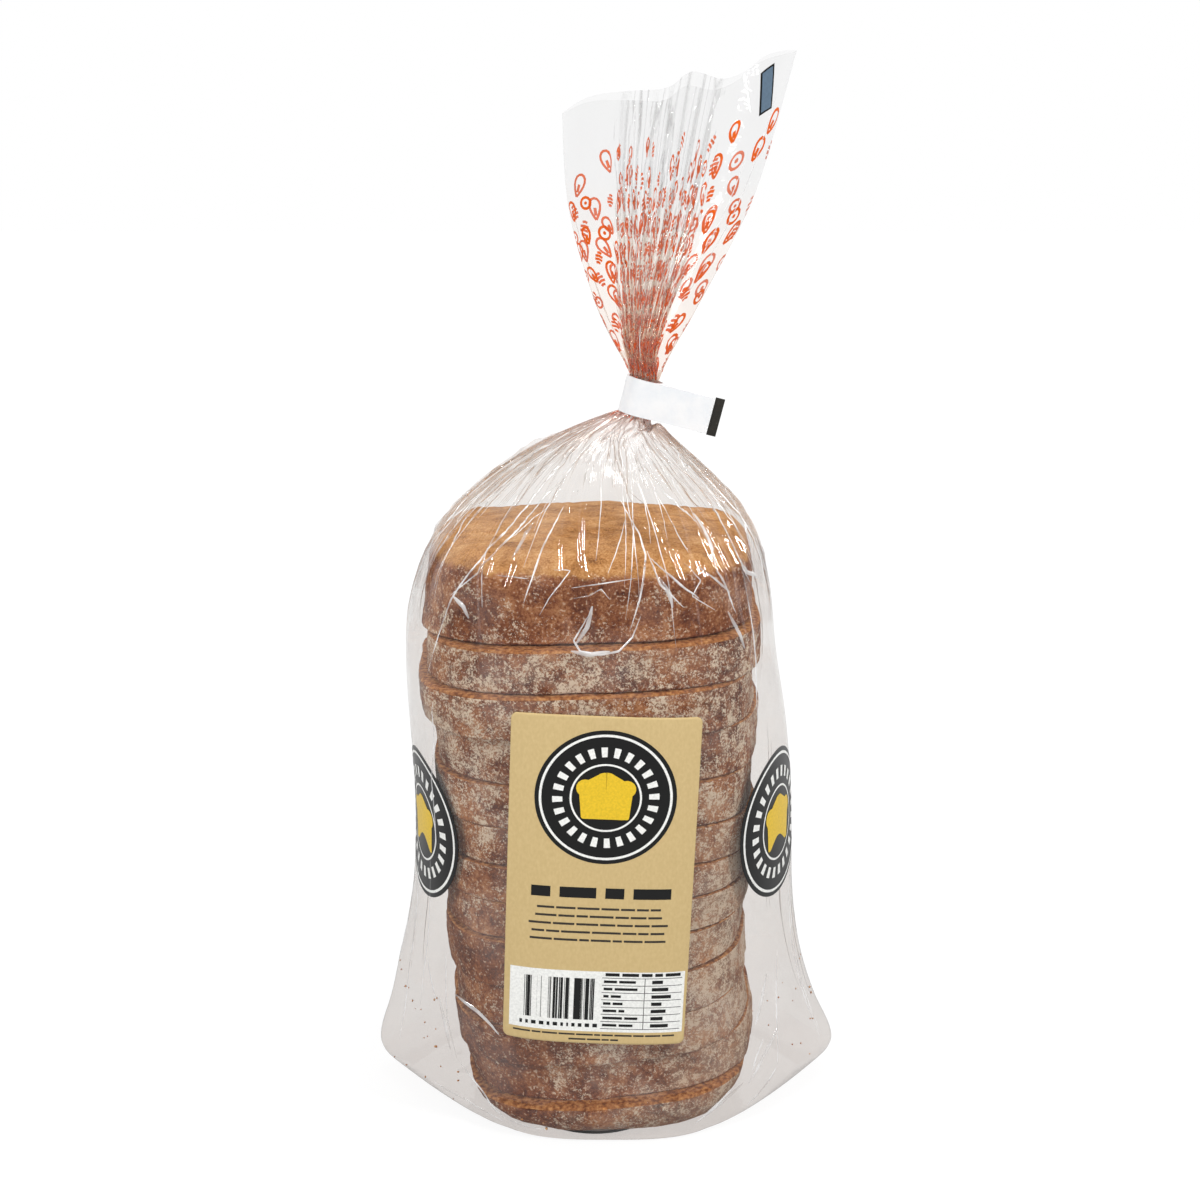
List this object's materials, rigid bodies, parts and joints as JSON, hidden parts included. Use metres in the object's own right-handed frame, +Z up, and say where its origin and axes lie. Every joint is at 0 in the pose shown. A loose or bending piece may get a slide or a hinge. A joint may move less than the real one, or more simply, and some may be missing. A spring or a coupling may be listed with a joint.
{
  "type": "loaf in bread bag",
  "caption": "Small floury sliced loaf on its end in a clear film bag, with a kraft label, a tape closure and a flared top.",
  "frame": {"origin": "on the flat base under the middle of the loaf, on the surface that the bag stands on", "axes": "+Z up along the loaf, from its bottom heel to the tape; -Y is the front, which carries the label; +X is to the right of someone facing the label"},
  "size_m": [0.1617, 0.0994, 0.3469],
  "materials": {
    "film_and_loaf": "clear glossy film over a floury brown crust",
    "label": "kraft coloured paper with a light sheen",
    "tape": "white adhesive tape, half gloss",
    "tape_tab": "dark matt pull tab"
  },
  "bodies": {
    "root": {"bag": "film_and_loaf", "label": "label", "tie": "tape", "tie_tab": "tape_tab"}
  },
  "joints": []
}
